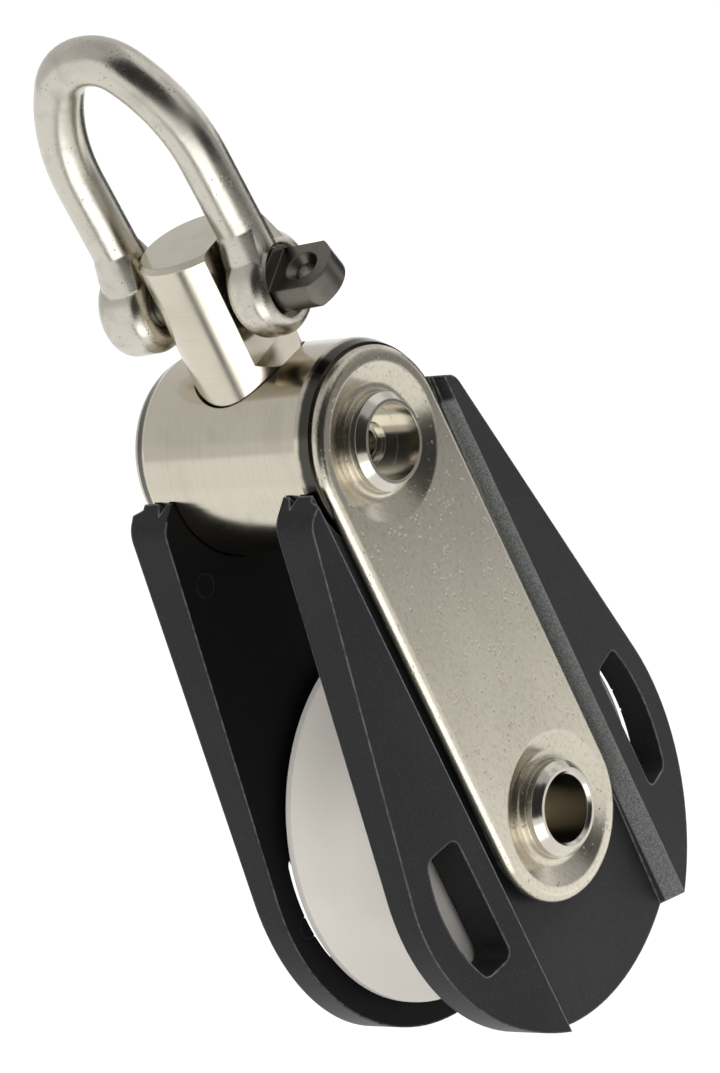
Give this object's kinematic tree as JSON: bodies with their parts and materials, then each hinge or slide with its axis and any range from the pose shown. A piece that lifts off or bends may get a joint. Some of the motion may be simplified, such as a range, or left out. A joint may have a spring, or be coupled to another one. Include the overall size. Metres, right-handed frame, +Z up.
{
  "type": "single pulley block",
  "caption": "Single sheave pulley block with moulded cheeks, steel side plates, a swivel head and a screw-pin shackle.",
  "frame": {"origin": "centre of the sheave's hollow axle, on the block's middle plane", "axes": "+Y along the axle towards the near side plate, +Z up the block towards the shackle, +X to the side"},
  "size_m": [0.0806, 0.0507, 0.207],
  "materials": {
    "satin_steel": "satin",
    "polished_steel": "polished",
    "zinc_steel": "satin",
    "cheek_moulding": "matte",
    "sheave_moulding": "satin",
    "bronze": "satin",
    "washer_nylon": "satin"
  },
  "bodies": {
    "shackle": {"shackle_bow": "polished_steel"},
    "pin": {"shackle_pin": "satin_steel"},
    "post": {"swivel_post": "polished_steel", "swivel_nut": "zinc_steel", "swivel_nut_washer": "zinc_steel", "swivel_lock_pin": "zinc_steel"},
    "block": {"head_drum": "satin_steel", "near_side_plate": "satin_steel", "far_side_plate": "satin_steel", "near_cheek": "cheek_moulding", "far_cheek": "cheek_moulding", "near_head_rivet": "polished_steel", "far_head_rivet": "polished_steel", "sheave_axle": "polished_steel", "axle_sleeve": "satin_steel", "near_thrust_washer": "washer_nylon", "far_thrust_washer": "washer_nylon", "swivel_thrust_washer": "bronze"},
    "sheave": {"sheave": "sheave_moulding", "sheave_bush": "bronze"}
  },
  "joints": [
    {"name": "pin_withdraw", "type": "slide", "parent": "shackle", "child": "pin", "axis": [-0.165, 0.9863, 0], "range_m": [0, 0.045]},
    {"name": "shackle_swing", "type": "hinge", "parent": "shackle", "child": "post", "pos_m": [0, 0, 0.1125], "axis": [-0.165, 0.9863, 0], "range_deg": [-105, 105]},
    {"name": "head_swivel", "type": "hinge", "parent": "post", "child": "block", "pos_m": [0, 0, 0.08], "axis": [0, 0, 1], "continuous": true},
    {"name": "sheave_spin", "type": "hinge", "parent": "block", "child": "sheave", "pos_m": [0, 0, 0], "axis": [0, 1, 0], "continuous": true}
  ]
}
